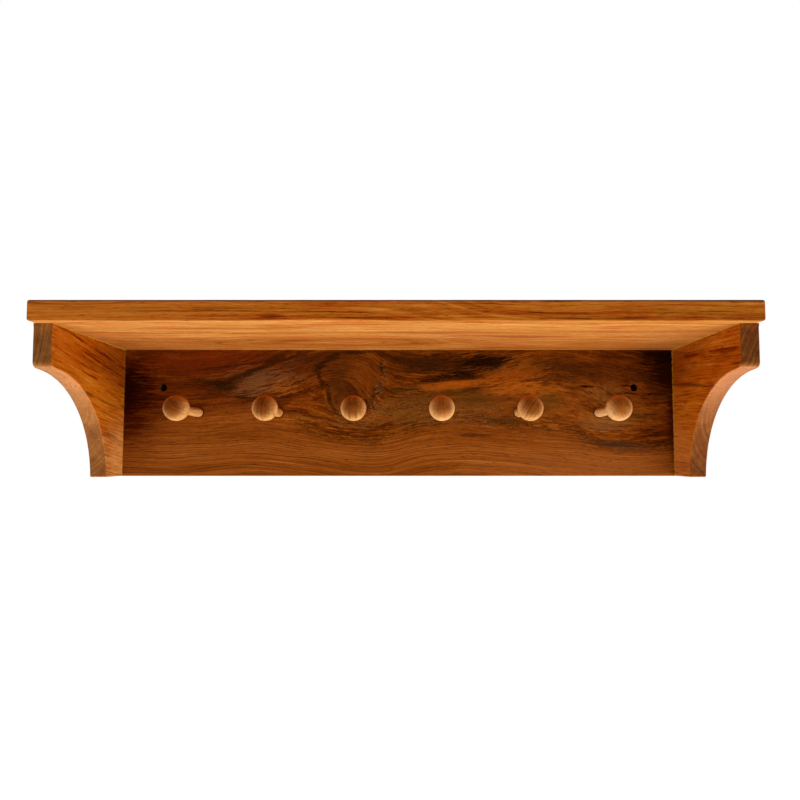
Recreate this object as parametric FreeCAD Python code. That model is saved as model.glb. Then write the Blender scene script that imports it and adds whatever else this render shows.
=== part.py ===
# Wall shelf with a rail of six turned pegs, in solid oiled hardwood.
#
# One shelf board lies on two side brackets and a back rail. The rail is housed between the
# brackets, and the backs of all four boards lie on the wall. The front of each bracket is a
# short upright nose, from which a concave quarter sweep runs down to a narrow foot. The pegs
# are lathe turned: a ball on a slim stem, whose tenon is glued into a socket in the rail.
# Glued fluted dowels join the boards. Two counterbored holes in the rail take wall screws.
#
# Millimetres. X runs along the rail to the right, Y into the wall and Z up. The origin is on
# the wall plane, midway between the two wall screws. The front of the shelf faces -Y.
import FreeCAD, Part
import math
import os

# Shelf board
shelf_length = 700.0
shelf_depth = 191.0
shelf_thickness = 20.0
shelf_edge_round = 2.5

# Back rail
rail_height = 152.0
rail_thickness = 19.0
rail_edge_round = 1.0

# Side brackets: the nose is the upright front, the foot is the narrow lower end
bracket_thickness = 19.0
bracket_depth = 178.0
nose_height = 43.5
nose_corner_round = 6.0
foot_depth = 59.0
sweep_radius = 115.0
bracket_edge_round = 1.5

# Pegs: the outer ones stand in from the rail's ends, the others are evenly spaced between
peg_count = 6
peg_end_setback = 90.0
peg_reach = 88.0
knob_diameter = 28.0
neck_diameter = 9.0
neck_cove_radius = 2.5
stem_diameter = 11.2
stem_foot_chamfer = 1.2
tenon_diameter = 10.0
tenon_length = 14.0
tenon_chamfer = 1.0

# Peg sockets in the rail
socket_clearance = 0.05
socket_end_gap = 0.6
socket_chamfer = 1.9

# Wall screw holes: their drop below the shelf sets the height of the origin
screw_end_setback = 47.0
screw_drop = 46.0
screw_hole_diameter = 5.0
screw_head_diameter = 9.0
head_recess_depth = 8.0

# Fluted dowels, with the depth that each end reaches into its board
dowel_diameter = 8.0
dowel_chamfer = 0.8
dowel_clearance = 0.05
dowel_end_gap = 0.6
flute_count = 12
flute_depth = 0.45
flute_width = 1.0
dowel_in_shelf = 12.0
dowel_in_support = 22.0
dowel_in_bracket = 12.0
dowel_in_rail_end = 24.0

# Dowel places: from a bracket's back and front, between those in the rail's top edge, and
# from the rail's top and bottom edges for those in its ends
bracket_dowel_back = 40.0
bracket_dowel_front = 40.0
rail_dowel_spacing = 220.0
end_dowel_inset = 26.0

# How far a cutter runs past the face that it opens, and how near counts as on a face
cut_overrun = 1.0
face_tolerance = 0.01

# Places that follow from the sizes above
underside = screw_drop
rail_bottom = underside - rail_height
rail_face = -rail_thickness
rail_middle = -rail_thickness / 2
peg_line = underside - rail_height / 2
half_length = shelf_length / 2
inner_half = half_length - bracket_thickness
bracket_middle = half_length - bracket_thickness / 2
screw_half_spacing = inner_half - screw_end_setback

right = FreeCAD.Vector(1, 0, 0)
into_wall = FreeCAD.Vector(0, 1, 0)
up = FreeCAD.Vector(0, 0, 1)


def point(x, y, z):
    return FreeCAD.Vector(x, y, z)


def board(low_x, low_y, low_z, high_x, high_y, high_z):
    """A square-edged board between two opposite corners."""
    return Part.makeBox(high_x - low_x, high_y - low_y, high_z - low_z, point(low_x, low_y, low_z))


def on(a, b):
    """Whether two places are the same, within the tolerance."""
    return abs(a - b) < face_tolerance


def eased(solid, radius, wanted):
    """The solid with a round on every edge whose middle passes the test."""
    chosen = []
    for edge in solid.Edges:
        middle = edge.valueAt((edge.FirstParameter + edge.LastParameter) / 2)
        if wanted(middle):
            chosen.append(edge)
    return solid.makeFillet(radius, chosen)


# Dowels. Each crosses a joint between two boards: its way points into the first board

def dowel_places():
    """Every dowel's name, where it crosses its joint, its way, and its depth in both boards."""
    places = []
    bracket_spots = (("back", -bracket_dowel_back), ("front", bracket_dowel_front - bracket_depth))
    rail_end_spots = (("upper", underside - end_dowel_inset), ("lower", rail_bottom + end_dowel_inset))
    for side, name in ((-1, "left"), (1, "right")):
        for spot, y in bracket_spots:
            crossing = point(side * bracket_middle, y, underside)
            places.append((f"shelf_dowel_{name}_{spot}", crossing, up, dowel_in_shelf, dowel_in_support))
        for spot, z in rail_end_spots:
            crossing = point(side * inner_half, rail_middle, z)
            way = right * side
            places.append((f"end_dowel_{name}_{spot}", crossing, way, dowel_in_bracket, dowel_in_rail_end))
    for step, name in ((-1, "left"), (0, "middle"), (1, "right")):
        crossing = point(step * rail_dowel_spacing, rail_middle, underside)
        places.append((f"rail_dowel_{name}", crossing, up, dowel_in_shelf, dowel_in_support))
    return places


def dowel_hole(crossing, way, depth_in, depth_out):
    """The drilling for one dowel through both boards, a little wider and deeper than the dowel."""
    radius = dowel_diameter / 2 + dowel_clearance
    start = crossing.sub(way * (depth_out + dowel_end_gap))
    return Part.makeCylinder(radius, depth_in + depth_out + 2 * dowel_end_gap, start, way)


def dowel(crossing, way, depth_in, depth_out):
    """A round pin with chamfered ends and straight V flutes that let the glue spread."""
    radius = dowel_diameter / 2
    length = depth_in + depth_out
    pin = Part.makeCylinder(radius, length)
    rims = [edge for edge in pin.Edges if isinstance(edge.Curve, Part.Circle)]
    pin = pin.makeChamfer(dowel_chamfer, rims)

    # The V runs as far outside the pin as inside, so it is the flute's width at the surface
    root = point(radius - flute_depth, 0, 0)
    brims = [point(radius + flute_depth, side * flute_width, 0) for side in (1, -1)]
    cutter = Part.Face(Part.makePolygon([root, *brims, root])).extrude(up * length)
    cutters = []
    for flute in range(flute_count):
        cutters.append(cutter.copy())
        cutters[-1].rotate(point(0, 0, 0), up, flute * 360 / flute_count)
    pin = pin.cut(cutters)
    pin.Placement = FreeCAD.Placement(crossing.sub(way * depth_out), FreeCAD.Rotation(up, way))
    return pin


def drilled_for_dowels(solid):
    """The board with the drillings of the dowels that reach into it."""
    for _, *place in dowel_places():
        hole = dowel_hole(*place)
        if solid.BoundBox.intersect(hole.BoundBox):
            solid = solid.cut(hole)
    return solid


# Boards

def shelf_board():
    """The top board, with all its edges eased except those that lie on the wall."""
    top = underside + shelf_thickness
    solid = board(-half_length, -shelf_depth, underside, half_length, 0, top)
    solid = eased(solid, shelf_edge_round, lambda middle: not on(middle.y, 0))
    return drilled_for_dowels(solid)


def screw_hole(side):
    """A wall screw's clearance hole, the cone that its head seats in, and the head's recess."""
    x = side * screw_half_spacing
    front = rail_face - cut_overrun
    hole_radius = screw_hole_diameter / 2
    head_radius = screw_head_diameter / 2
    shank = Part.makeCylinder(
        hole_radius, rail_thickness + 2 * cut_overrun, point(x, front, 0), into_wall
    )
    recess = Part.makeCylinder(
        head_radius, head_recess_depth + cut_overrun, point(x, front, 0), into_wall
    )
    seat = Part.makeCone(
        head_radius,
        hole_radius,
        head_radius - hole_radius,
        point(x, rail_face + head_recess_depth, 0),
        into_wall,
    )
    return shank.fuse([recess, seat])


def peg_places():
    """The X of each peg: even steps between the two outer pegs."""
    last = inner_half - peg_end_setback
    return [last * (2 * number / (peg_count - 1) - 1) for number in range(peg_count)]


def peg_socket(x):
    """The blind socket for one tenon, with a chamfered mouth."""
    radius = tenon_diameter / 2 + socket_clearance
    depth = tenon_length + socket_end_gap
    bore = Part.makeCylinder(
        radius, depth + cut_overrun, point(x, rail_face - cut_overrun, peg_line), into_wall
    )
    mouth = Part.makeCone(
        radius + socket_chamfer, radius, socket_chamfer, point(x, rail_face, peg_line), into_wall
    )
    return bore.fuse(mouth)


def back_rail():
    """The board that carries the pegs and takes the wall screws. Its lower front edge is eased."""
    solid = board(-inner_half, rail_face, rail_bottom, inner_half, 0, underside)
    solid = eased(
        solid,
        rail_edge_round,
        lambda middle: on(middle.z, rail_bottom) and on(middle.y, rail_face),
    )
    solid = solid.cut([peg_socket(x) for x in peg_places()])
    solid = solid.cut([screw_hole(-1), screw_hole(1)])
    return drilled_for_dowels(solid)


def sweep(start, end):
    """The concave arc of the sweep's radius from the nose's lower corner to the foot's front."""
    half_chord = end.sub(start) * 0.5
    outwards = half_chord.cross(right).normalize()
    rise = math.sqrt(sweep_radius**2 - half_chord.Length**2)
    crown = start.add(half_chord).add(outwards * (rise - sweep_radius))
    return Part.Arc(start, crown, end).toShape()


def bracket(side):
    """One side bracket. It stays sharp where it meets the shelf and the wall."""
    middle_x = side * bracket_middle
    nose_bottom = underside - nose_height
    nose_corner = point(0, -bracket_depth, nose_bottom)
    foot_corner = point(0, -foot_depth, rail_bottom)
    straight = Part.makePolygon(
        [
            foot_corner,
            point(0, 0, rail_bottom),
            point(0, 0, underside),
            point(0, -bracket_depth, underside),
            nose_corner,
        ]
    )
    outline = Part.Wire(straight.Edges + [sweep(nose_corner, foot_corner)])
    solid = Part.Face(outline).extrude(right * bracket_thickness)
    solid.translate(right * (middle_x - bracket_thickness / 2))
    solid = eased(
        solid,
        nose_corner_round,
        lambda middle: on(middle.y, -bracket_depth) and on(middle.z, nose_bottom),
    )

    # The round's own two borders run across the bracket and are smooth, so they are left out
    solid = eased(
        solid,
        bracket_edge_round,
        lambda middle: not on(middle.y, 0)
        and not on(middle.z, underside)
        and (on(middle.z, rail_bottom) or not on(middle.x, middle_x)),
    )
    return drilled_for_dowels(solid)


# Pegs. A peg's side is drawn with X as the radius and Y as the reach, and then revolved

def peg(x):
    """One turned peg: a tenon, a stem that tapers to the neck, a cove and the ball that it touches."""
    knob_radius = knob_diameter / 2
    neck_radius = neck_diameter / 2
    tenon_radius = tenon_diameter / 2
    knob_middle = peg_reach - knob_radius

    centre_distance = knob_radius + neck_cove_radius
    cove_x = neck_radius + neck_cove_radius
    cove_y = knob_middle - math.sqrt(centre_distance**2 - cove_x**2)
    cove_centre = point(cove_x, cove_y, 0)
    knob_centre = point(0, knob_middle, 0)
    neck = point(neck_radius, cove_y, 0)
    to_knob = knob_centre.sub(cove_centre).normalize()
    on_ball = cove_centre.add(to_knob * neck_cove_radius)
    inwards = to_knob.sub(right).normalize()
    cove = Part.Arc(neck, cove_centre.add(inwards * neck_cove_radius), on_ball).toShape()

    tip = point(0, peg_reach, 0)
    ball = Part.Arc(on_ball, point(knob_radius, knob_middle, 0), tip).toShape()
    tenon_and_stem = Part.makePolygon(
        [
            tip,
            point(0, -tenon_length, 0),
            point(tenon_radius - tenon_chamfer, -tenon_length, 0),
            point(tenon_radius, tenon_chamfer - tenon_length, 0),
            point(tenon_radius, 0, 0),
            point(stem_diameter / 2, stem_foot_chamfer, 0),
            neck,
        ]
    )
    side = Part.Wire(tenon_and_stem.Edges + [cove, ball])
    turned = Part.Face(side).revolve(point(0, 0, 0), into_wall, 360)
    turned.rotate(point(0, 0, 0), up, 180)
    turned.translate(point(x, rail_face, peg_line))
    return turned


def pieces():
    """Every separate piece of the shelf, by name."""
    made = {
        "shelf_board": shelf_board(),
        "back_rail": back_rail(),
        "left_bracket": bracket(-1),
        "right_bracket": bracket(1),
    }
    for number, x in enumerate(peg_places(), 1):
        made[f"peg_{number}"] = peg(x)
    for name, *place in dowel_places():
        made[name] = dowel(*place)
    return made


os.makedirs("parts", exist_ok=True)
for name, shape in pieces().items():
    print(f"{name}: {len(shape.Solids)} solid, valid {shape.isValid()}, {shape.Volume / 1000:.2f} cm3")
    shape.Solids[0].exportStep(f"parts/{name}.step")
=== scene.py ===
# %% [markdown]
# # A shaker peg rail with a shelf
# The real object is a wall shelf of oiled hardwood: a top board on two brackets with swept fronts, and a
# back rail with six turned pegs. The imported CAD model is the frame of this scene. It is loaded once, in
# metres, and every new surface takes its place and size from a CAD node's box, so nothing has to be fitted
# by eye. The box of the whole CAD model is kept and printed.

import math
from collections import namedtuple

import bpy
import numpy as np
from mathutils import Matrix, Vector


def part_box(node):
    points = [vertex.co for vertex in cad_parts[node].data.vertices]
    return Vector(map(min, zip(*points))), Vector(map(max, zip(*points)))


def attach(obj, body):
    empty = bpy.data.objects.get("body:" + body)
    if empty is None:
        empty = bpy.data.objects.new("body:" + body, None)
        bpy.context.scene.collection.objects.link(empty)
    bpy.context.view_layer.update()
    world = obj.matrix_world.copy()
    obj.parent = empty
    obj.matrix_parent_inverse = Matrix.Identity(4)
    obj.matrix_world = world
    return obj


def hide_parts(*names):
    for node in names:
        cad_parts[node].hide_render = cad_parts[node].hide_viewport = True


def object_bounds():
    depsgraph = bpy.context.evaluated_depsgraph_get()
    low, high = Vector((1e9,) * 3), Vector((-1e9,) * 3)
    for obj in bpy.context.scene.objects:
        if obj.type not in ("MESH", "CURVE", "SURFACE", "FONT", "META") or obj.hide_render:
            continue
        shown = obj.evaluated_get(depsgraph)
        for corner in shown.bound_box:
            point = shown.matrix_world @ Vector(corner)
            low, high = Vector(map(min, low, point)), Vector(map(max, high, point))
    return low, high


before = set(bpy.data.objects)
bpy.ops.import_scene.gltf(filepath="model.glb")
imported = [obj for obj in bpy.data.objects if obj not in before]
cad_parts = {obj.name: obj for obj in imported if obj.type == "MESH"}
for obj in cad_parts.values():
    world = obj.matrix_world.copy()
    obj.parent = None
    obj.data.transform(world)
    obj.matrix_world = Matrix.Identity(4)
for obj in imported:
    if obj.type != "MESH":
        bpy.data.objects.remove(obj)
scene = bpy.context.scene
cad_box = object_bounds()
mm = 0.001
print("CAD box in mm:", [[round(v / mm, 1) for v in corner] for corner in cad_box])

# %% [markdown]
# ## Camera
# A camera straight in front of a shelf keeps the board's long edges level. This one stands a little right
# of the middle and below the shelf, and is tilted up by a few degrees, so it sees the underside. The lens
# and the small shift put the corners of the boards where the photograph has them. The shift is in parts of
# the frame's width.

# %% Set the camera
frame_pixels = 800
focal_pixels = 642.2
sensor_width = 36.0
optical_centre = (408.2, 416.6)
camera_place = (0.0115, -0.7906, -0.0807)
camera_pitch = math.radians(3.4)

camera_data = bpy.data.cameras.new("camera")
camera_data.sensor_width = sensor_width
camera_data.lens = focal_pixels * sensor_width / frame_pixels
camera_data.shift_x = 0.5 - optical_centre[0] / frame_pixels
camera_data.shift_y = optical_centre[1] / frame_pixels - 0.5
camera = bpy.data.objects.new("camera", camera_data)
camera.location = camera_place
camera.rotation_euler = (math.pi / 2 + camera_pitch, 0, 0)
scene.collection.objects.link(camera)
scene.camera = camera
scene.view_settings.view_transform = "Standard"
print(f"lens {camera_data.lens:.1f} mm, shift {camera_data.shift_x:.4f}, {camera_data.shift_y:.4f}")

# %% [markdown]
# ## Nodes and colours
# Every material here is a tree of nodes. One helper adds a node, sets its own settings, and then fills its
# inputs, with a value or with what another node gives. Blender calculates with linear light, while a colour
# picked on a screen is an sRGB hex value, so a second helper turns one into the other.

# %% Helpers for node trees

def add(tree, kind, inputs=(), **settings):
    """Adds a shader node. Its kind goes without Blender's prefix, ShaderNode.

    An input's key is its name or its number, and its value may be another node.
    """
    node = tree.nodes.new("ShaderNode" + kind)
    for setting, value in settings.items():
        setattr(node, setting, value)
    shown = [socket for socket in node.inputs if socket.enabled]
    for key, value in dict(inputs).items():
        socket = shown[key] if isinstance(key, int) else next(s for s in shown if s.name == key)
        if isinstance(value, bpy.types.Node):
            value = next(s for s in value.outputs if s.enabled)
        if isinstance(value, bpy.types.NodeSocket):
            tree.links.new(value, socket)
        else:
            socket.default_value = value
    return node


def linear(hex_colour):
    """An sRGB hex colour as linear red, green, blue and alpha."""
    parts = [int(hex_colour[i:i + 2], 16) / 255 for i in (0, 2, 4)]
    return [p / 12.92 if p <= 0.04045 else ((p + 0.055) / 1.055) ** 2.4 for p in parts] + [1.0]


def new_material(name):
    """An empty material and its tree."""
    material = bpy.data.materials.new(name)
    material.use_nodes = True
    material.node_tree.nodes.clear()
    return material, material.node_tree


print("mid grey 808080 in linear light:", [round(v, 3) for v in linear("808080")])

# %% [markdown]
# ## Studio
# The object hangs in an all-white studio. Rays from the camera see a white world, while the light that the
# world gives the wood is plain and weaker, so the wood keeps its depth. The floor is pale paper far below.
# For the camera it glows a little, so that it reads as white and still shows the object's shadow. Large
# soft lamps do the rest: the main one is low in front, which brightens the underside of the shelf and the
# lower rims of the knobs, one on each side lights the inner faces of the brackets, and one above keeps the
# top of the shelf plainly lit.

# %% Light the studio
room_light = 0.22

world = bpy.data.worlds.new("white_studio")
scene.world = world
world.use_nodes = True
tree = world.node_tree
tree.nodes.clear()
ray = add(tree, "LightPath")
strength = add(tree, "MapRange", {"Value": ray.outputs["Is Camera Ray"], "To Min": room_light})
sky = add(tree, "Background", {"Color": linear("ffffff"), "Strength": strength})
add(tree, "OutputWorld", {"Surface": sky})
print("the white world lights the wood with a strength of", room_light)

# %% Lay the floor
floor_drop = 1.0
floor_half = 6.0
floor_glow = 0.85

paper, tree = new_material("white_paper_matt")
ray = add(tree, "LightPath")
glow = add(tree, "Math", {0: ray.outputs["Is Camera Ray"], 1: floor_glow}, operation="MULTIPLY")
surface = add(tree, "BsdfPrincipled", {
    "Base Color": linear("f4f4f2"), "Roughness": 0.9, "Specular IOR Level": 0.1,
    "Emission Color": linear("ffffff"), "Emission Strength": glow,
})
add(tree, "OutputMaterial", {"Surface": surface})

floor_z = cad_box[0].z - floor_drop
corners = [(x, y, floor_z) for x, y in ((-1, -1), (1, -1), (1, 1), (-1, 1))]
floor_mesh = bpy.data.meshes.new("studio_floor")
floor_mesh.from_pydata([(x * floor_half, y * floor_half, z) for x, y, z in corners], [], [(0, 1, 2, 3)])
floor_mesh.materials.append(paper)
floor = bpy.data.objects.new("studio_floor", floor_mesh)
scene.collection.objects.link(floor)
print(f"the floor lies {-floor_z:.2f} m below the wall screws")

# %% Hang the lamps
Lamp = namedtuple("Lamp", "name place aim width height watts")
lamps = (
    Lamp("low_front_lamp", (0.0, -0.42, -0.95), (0, -0.1, 0), 1.8, 0.6, 14.0),
    Lamp("right_lamp", (1.1, -0.75, -0.45), (-0.2, -0.05, 0), 0.8, 0.8, 10.5),
    Lamp("left_lamp", (-1.1, -0.75, -0.45), (0.2, -0.05, 0), 0.8, 0.8, 5.8),
    Lamp("top_lamp", (0.2, -0.2, 1.4), (0, -0.08, 0), 1.2, 1.2, 4.5),
)
for lamp in lamps:
    data = bpy.data.lights.new(lamp.name, "AREA")
    data.shape = "RECTANGLE"
    data.size = lamp.width
    data.size_y = lamp.height
    data.energy = lamp.watts
    holder = bpy.data.objects.new(lamp.name, data)
    holder.location = lamp.place
    towards = Vector(lamp.aim) - Vector(lamp.place)
    holder.rotation_euler = towards.to_track_quat("-Z", "Y").to_euler()
    holder.visible_camera = False
    scene.collection.objects.link(holder)
print("lamps:", {lamp.name: lamp.watts for lamp in lamps})

# %% [markdown]
# ## Surfaces from numpy
# A surface here is a grid of points that a formula gives all at once, as numpy arrays, together with the
# direction that each point faces. Neighbouring grid points make the faces. The directions go into the mesh
# as its normals, so that a swept or turned surface shades smoothly and a flat face stays perfectly flat.

# %% Helpers for meshes

def grid_faces(rows, columns):
    """The four corners of each cell between a grid's rows. Each row closes on itself."""
    row, column = np.meshgrid(np.arange(rows - 1), np.arange(columns), indexing="ij")
    beside = (column + 1) % columns
    cells = [row * columns + column, row * columns + beside,
             (row + 1) * columns + beside, (row + 1) * columns + column]
    return np.stack(cells, -1).reshape(-1, 4)


def enclosed_volume(points, faces):
    """The volume inside a closed surface: the sum of the tetrahedra from the origin to each triangle."""
    fans = [(face[0], face[i], face[i + 1]) for face in faces for i in range(1, len(face) - 1)]
    a, b, c = points[np.array(fans)].transpose(1, 0, 2)
    return float(np.einsum("ij,ij->i", a, np.cross(b, c)).sum() / 6)


def make_piece(name, points, normals, faces, stands_for=(), eased=0.0):
    """A mesh object of the finished surface, in metres, that rides with the frame."""
    mesh = bpy.data.meshes.new(name)
    mesh.from_pydata((points * mm).tolist(), [], faces)
    mesh.shade_smooth()
    mesh.normals_split_custom_set_from_vertices(normals.tolist())
    worn = mesh.attributes.new("eased", "FLOAT", "POINT")
    worn.data.foreach_set("value", np.broadcast_to(eased, len(points)).astype(np.float32))
    piece = bpy.data.objects.new(name, mesh)
    scene.collection.objects.link(piece)
    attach(piece, "root")
    if stands_for:
        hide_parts(stands_for)
    print(f"{name}: {len(points)} points, {enclosed_volume(points, faces) / 1000:.1f} cubic cm")
    return piece


def node_box(node):
    """A CAD node's lowest and highest corners in millimetres."""
    return [np.array(corner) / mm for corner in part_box(node)]


# %% [markdown]
# ## A board cut to an outline
# The shelf board and the brackets are flat boards whose edges were eased with sandpaper. In Blender that
# could be a box with a Bevel modifier. Here the outline is worked out first: straight edges, one hollow arc
# on the brackets, and a round at each corner, slightly larger than the easing of the arrises. Then a
# quarter-round profile is carried along the whole outline, above and below, and the two faces close it. An
# eased edge is never quite even, because a hand did it, so the profile's radius wanders by a tenth or so
# along the way.

# %% Describe corners and edges
Corner = namedtuple("Corner", "place turn_round ease")
Edge = namedtuple("Edge", "ease hollow")
round_share = 1.1


def turned_left(direction):
    """A flat direction, turned a quarter to the left."""
    return np.stack([-direction[..., 1], direction[..., 0]], -1)


def hollow_centre(start, end, radius):
    """The centre of the arc of this radius between two points, on the right-hand side of the way."""
    half_chord = (end - start) / 2
    half = np.linalg.norm(half_chord)
    return start + half_chord - turned_left(half_chord) / half * math.sqrt(radius**2 - half**2)


def edge_directions(start, end, edge):
    """The outward direction at an edge's start and at its end."""
    if edge.hollow:
        centre = hollow_centre(start, end, edge.hollow)
        return (centre - start) / edge.hollow, (centre - end) / edge.hollow
    way = (end - start) / np.linalg.norm(end - start)
    return -turned_left(way), -turned_left(way)


print("left of +X is", turned_left(np.array([1, 0])))

# %% Walk round the outline
point_step = 5.0
corner_points = 6
unevenness = 0.12
uneven_lengths = (83.0, 29.0)


def outline(corners, edges):
    """Points, outward directions and easing radius along a closed outline, walked anticlockwise.

    At a corner the direction turns evenly from one edge's to the next one's, and the point lies on the
    circle that touches both. Along an edge the points go from one corner's round to the next one's, on the
    straight line or on the hollow arc.
    """
    places = [np.array(corner.place, float) for corner in corners]
    count = len(corners)
    outwards = [edge_directions(places[i], places[(i + 1) % count], edges[i]) for i in range(count)]
    rounds = []
    for i, corner in enumerate(corners):
        before, after = outwards[i - 1][1], outwards[i][0]
        centre = places[i] - corner.turn_round * (before + after) / (1 + before @ after)
        start = math.atan2(before[1], before[0])
        turn = math.atan2(before[0] * after[1] - before[1] * after[0], before @ after)
        angle = start + turn * np.linspace(0, 1, corner_points)
        direction = np.stack([np.cos(angle), np.sin(angle)], -1)
        rounds.append((centre + corner.turn_round * direction, direction))
    points, directions, easing = [], [], []
    for i, (edge, corner) in enumerate(zip(edges, corners)):
        start, end = rounds[i][0][-1], rounds[(i + 1) % count][0][0]
        steps = math.ceil(np.linalg.norm(end - start) / point_step) + 2
        share = np.linspace(0, 1, steps)[1:-1, None]
        if edge.hollow:
            centre = hollow_centre(places[i], places[(i + 1) % count], edge.hollow)
            first, last = [math.atan2(p[1] - centre[1], p[0] - centre[0]) for p in (start, end)]
            angle = (first + (last - first) * share)[:, 0]
            spoke = np.stack([np.cos(angle), np.sin(angle)], -1)
            along, facing = centre + edge.hollow * spoke, -spoke
        else:
            along = start + (end - start) * share
            facing = np.broadcast_to(outwards[i][0], along.shape)
        points += [rounds[i][0], along]
        directions += [rounds[i][1], facing]
        easing += [np.full(corner_points, corner.ease), np.full(len(along), edge.ease)]
    points, directions, easing = np.concatenate(points), np.concatenate(directions), np.concatenate(easing)
    travelled = np.cumsum(np.linalg.norm(np.diff(points, axis=0, prepend=points[-1:]), axis=1))
    wobble = sum(np.sin(math.tau * travelled / length) for length in uneven_lengths) / len(uneven_lengths)
    return points, directions, easing * (1 - unevenness * (1 + wobble) / 2)


print(f"here and there an eased edge loses up to {unevenness:.0%} of its radius")

# %% Carry the eased profile along the outline
ease_steps = 6


def cut_board(name, shape, across, axes, node):
    """A board between two levels, its easing a quarter circle of the outline's radius.

    The profile's angle goes from 0 on the edge to a right angle on the face. The point lies inwards of the
    outline by the radius times one less the angle's cosine, and inwards of the face by the radius times
    one less its sine.
    """
    line, outward, radius = shape
    middle, half = (across[0] + across[1]) / 2, (across[1] - across[0]) / 2
    angle = np.linspace(math.pi / 2, 0, ease_steps)
    angle = np.concatenate([angle, angle[::-1]])[:, None]
    side = np.repeat([-1.0, 1.0], ease_steps)[:, None]
    flat = line - (radius * (1 - np.cos(angle)))[..., None] * outward
    level = middle + side * (half - radius * (1 - np.sin(angle)))
    points = np.zeros(flat.shape[:2] + (3,))
    normals = np.zeros_like(points)
    points[..., axes[:2]] = flat
    points[..., axes[2]] = level
    normals[..., axes[:2]] = np.cos(angle)[..., None] * outward
    normals[..., axes[2]] = side * np.sin(angle)
    rows, columns = points.shape[:2]
    faces = grid_faces(rows, columns).tolist()
    last_row = (rows - 1) * columns
    faces += [list(range(columns))[::-1], list(range(last_row, last_row + columns))]
    eased = np.broadcast_to(np.sin(2 * angle), (rows, columns)).reshape(-1)
    return make_piece(name, points.reshape(-1, 3), normals.reshape(-1, 3), faces, node, eased)


# %% [markdown]
# ### Shelf board
# The top board is a plain rectangle. Its front corners and arrises are eased by two to three millimetres,
# and the back edge stays sharp, because it lies against the wall.

# %% Make the shelf board
sharp = 0.25
shelf_ease = 2.5
shelf_low, shelf_high = node_box("shelf_board")
left, front, _ = shelf_low
right, back, _ = shelf_high
shelf_corners = (
    Corner((left, front), shelf_ease * round_share, shelf_ease),
    Corner((right, front), shelf_ease * round_share, shelf_ease),
    Corner((right, back), sharp * round_share, sharp),
    Corner((left, back), sharp * round_share, sharp),
)
shelf_edges = (Edge(shelf_ease, 0), Edge(shelf_ease, 0), Edge(sharp, 0), Edge(shelf_ease, 0))
shelf_board = cut_board("top_board", outline(shelf_corners, shelf_edges), (shelf_low[2], shelf_high[2]),
                        [0, 1, 2], "shelf_board")

# %% [markdown]
# ### Brackets
# Each bracket was cut from a board of the same thickness. Its front comes straight down as a square nose
# and then sweeps in a hollow arc to the narrow foot. A band saw cuts such an arc, and a drum sander cleans
# it. The joints with the shelf and the wall stay sharp, and all other arrises are eased, the nose's lower
# corner most.

# %% Make the brackets
bracket_ease = 1.5
nose_height = 43.5
nose_round = 6.0
foot_depth = 59.0
sweep_radius = 115.0
brackets = {}
for side in ("left", "right"):
    low, high = node_box(f"{side}_bracket")
    nose, wall = low[1], high[1]
    foot, joint = low[2], high[2]
    bracket_corners = (
        Corner((wall - foot_depth, foot), bracket_ease * round_share, bracket_ease),
        Corner((wall, foot), sharp * round_share, sharp),
        Corner((wall, joint), sharp * round_share, sharp),
        Corner((nose, joint), sharp * round_share, sharp),
        Corner((nose, joint - nose_height), nose_round, bracket_ease),
    )
    bracket_edges = (Edge(bracket_ease, 0), Edge(sharp, 0), Edge(sharp, 0), Edge(bracket_ease, 0),
                     Edge(bracket_ease, sweep_radius))
    brackets[side] = cut_board(f"swept_bracket_{side}", outline(bracket_corners, bracket_edges),
                               (low[0], high[0]), [1, 2, 0], f"{side}_bracket")

# %% [markdown]
# ## Turned pegs
# A lathe turns a peg: the wood spins and the tool's path becomes the outline. So the peg's profile is
# drawn once, as reach and radius, from the knob's tip over the ball, the little cove at the neck and the
# tapered stem to its rounded foot, and then along the tenon that is glued in the rail. Then the profile
# goes round the axis, and a fan of triangles closes each end on the axis.

# %% Draw the peg's profile
knob_radius = 14.0
neck_radius = 4.5
cove_radius = 2.5
stem_radius = 5.6
foot_length = 2.2
tenon_radius = 5.0
tenon_length = 14.0
tenon_chamfer = 1.0
rail_low, rail_high = node_box("back_rail")
rail_face = rail_low[1]
peg_reach = rail_face - node_box("peg_1")[0][1]


def arc(centre, radius, first, last, count, hollow=False):
    """Reach and radius on an arc, from one angle to another in degrees, and the direction it faces."""
    angle = np.radians(np.linspace(first, last, count))
    spoke = np.stack([np.cos(angle), np.sin(angle)], -1)
    return np.array(centre) + radius * spoke, -spoke if hollow else spoke


def straight(start, end, count):
    """Reach and radius on a straight line, and the direction that its right-hand side faces."""
    start, end = np.array(start), np.array(end)
    way = (end - start) / np.linalg.norm(end - start)
    line = start + (end - start) * np.linspace(0, 1, count)[:, None]
    return line, np.broadcast_to([way[1], -way[0]], line.shape)


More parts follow.
